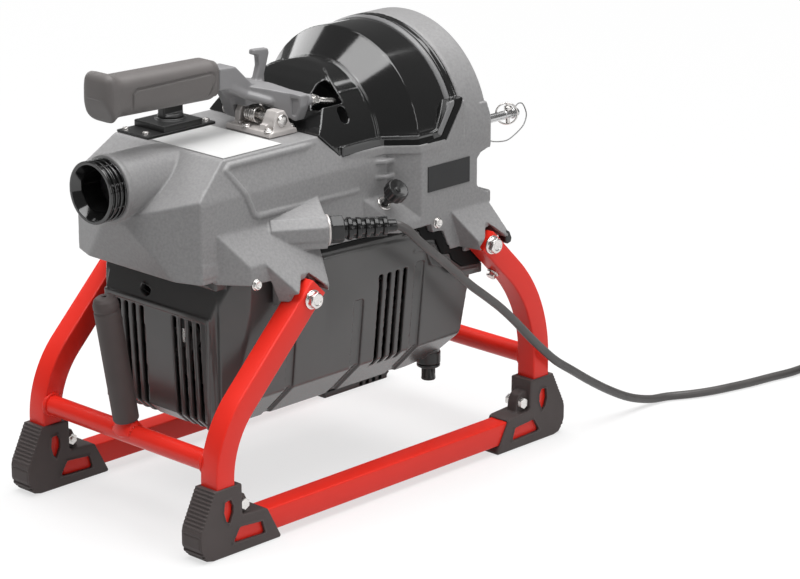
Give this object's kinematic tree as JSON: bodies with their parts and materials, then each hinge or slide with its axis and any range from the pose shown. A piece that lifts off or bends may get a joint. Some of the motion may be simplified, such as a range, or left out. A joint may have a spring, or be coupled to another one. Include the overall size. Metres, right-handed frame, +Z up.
{
  "type": "drain snake machine",
  "caption": "Bench-height electric drain snake drive: cast body on a bent square-tube stand, nose coupling, clutch hood, pull-down lever, rotary switch and mains cord.",
  "frame": {"origin": "on the floor, midway between the four feet", "axes": "+Z up, -Y towards the nose where the cable leaves, +X towards the side with the mains cord"},
  "size_m": [0.557, 1.1748, 0.4935],
  "materials": {
    "red_paint": "gloss",
    "rubber": "matt",
    "grey_paint": "fine texture",
    "grey_plastic": "semi-gloss",
    "black_plastic": "semi-gloss",
    "steel": "zinc",
    "iron": "plain",
    "dark_metal": "satin",
    "label": "satin"
  },
  "bodies": {
    "stand": {"upper_housing": "grey_paint", "lower_housing": "grey_plastic", "housing_gasket": "rubber", "clutch_hood": "black_plastic", "front_coupling": "black_plastic", "lever_bracket": "dark_metal", "pivot_pin": "steel", "lever_spring": "steel", "switch_plate": "dark_metal", "switch_block": "black_plastic", "switch_screws": "steel", "top_label": "label", "side_plate": "dark_metal", "gland_nut": "black_plastic", "strain_relief": "rubber", "power_cord": "rubber", "cord_coil": "rubber", "coil_tie": "black_plastic", "plug": "rubber", "skid_plate": "black_plastic", "right_front_leg": "red_paint", "left_front_leg": "red_paint", "right_rear_leg": "red_paint", "left_rear_leg": "red_paint", "right_rail": "red_paint", "left_rail": "red_paint", "front_cross_tube": "red_paint", "rear_cross_tube": "red_paint", "front_post": "red_paint", "post_sleeve": "rubber", "right_front_foot": "rubber", "left_front_foot": "rubber", "right_rear_foot": "rubber", "left_rear_foot": "rubber", "foot_clamp_bolts": "steel", "frame_bolts": "steel", "housing_screws": "steel", "hitch_rod": "steel", "pin_lanyard": "steel", "motor_stator": "iron", "drive_belt": "rubber", "spindle_bearings": "steel"},
    "lever": {"operating_lever": "grey_paint", "lever_grip": "black_plastic", "link_rods": "steel"},
    "selector": {"switch_knob": "black_plastic"},
    "spindle": {"spindle": "steel", "clutch_drum": "iron", "driven_pulley": "iron"},
    "motor": {"motor_rotor": "steel", "cooling_fan": "black_plastic", "motor_pulley": "iron"},
    "collar": {"thrust_collar": "steel"},
    "first_jaw": {"jaw_1": "steel"},
    "second_jaw": {"jaw_2": "steel"},
    "third_jaw": {"jaw_3": "steel"},
    "thumb_screw": {"side_knob": "black_plastic"},
    "cross_pin": {"quick_pin": "steel"},
    "drain": {"drain_plug": "black_plastic"}
  },
  "joints": [
    {"name": "lever_swing", "type": "hinge", "parent": "stand", "child": "lever", "pos_m": [0, -0.066, 0.4144], "axis": [1, 0, 0], "range_deg": [0, 8], "stiffness_Nm_per_rad": 5, "springref_deg": -22.92, "deforming": ["lever_spring"]},
    {"name": "switch_turn", "type": "hinge", "parent": "stand", "child": "selector", "pos_m": [-0.059, -0.122, 0.41], "axis": [0, 0, 1], "range_deg": [-45, 45]},
    {"name": "spindle_spin", "type": "hinge", "parent": "stand", "child": "spindle", "pos_m": [0, 0, 0.3685], "axis": [0, 1, 0], "continuous": true},
    {"name": "motor_spin", "type": "hinge", "parent": "stand", "child": "motor", "pos_m": [0, 0, 0.186], "axis": [0, 1, 0], "continuous": true},
    {"name": "collar_slide", "type": "slide", "parent": "stand", "child": "collar", "axis": [0, 1, 0], "range_m": [0, 0.006]},
    {"name": "jaw_1_close", "type": "slide", "parent": "spindle", "child": "first_jaw", "axis": [-1, 0, 0], "range_m": [0, 0.005]},
    {"name": "jaw_2_close", "type": "slide", "parent": "spindle", "child": "second_jaw", "axis": [0.5, 0, 0.866], "range_m": [0, 0.005]},
    {"name": "jaw_3_close", "type": "slide", "parent": "spindle", "child": "third_jaw", "axis": [0.5, 0, -0.866], "range_m": [0, 0.005]},
    {"name": "screw_turn", "type": "hinge", "parent": "stand", "child": "thumb_screw", "pos_m": [0.104, 0.036, 0.3115], "axis": [0.7193, 0, 0.6947], "continuous": true},
    {"name": "pin_pull", "type": "slide", "parent": "stand", "child": "cross_pin", "axis": [0, 0, 1], "range_m": [0, 0.02], "deforming": ["pin_lanyard"]},
    {"name": "drain_pull", "type": "slide", "parent": "stand", "child": "drain", "axis": [0, 0, -1], "range_m": [0, 0.03]}
  ],
  "couplings": [
    {"joint": "motor_spin", "follows": "spindle_spin", "ratio": 2.48},
    {"joint": "collar_slide", "follows": "lever_swing", "m_per_rad": 0.0425},
    {"joint": "jaw_1_close", "follows": "lever_swing", "m_per_rad": 0.0355},
    {"joint": "jaw_2_close", "follows": "lever_swing", "m_per_rad": 0.0355},
    {"joint": "jaw_3_close", "follows": "lever_swing", "m_per_rad": 0.0355}
  ]
}
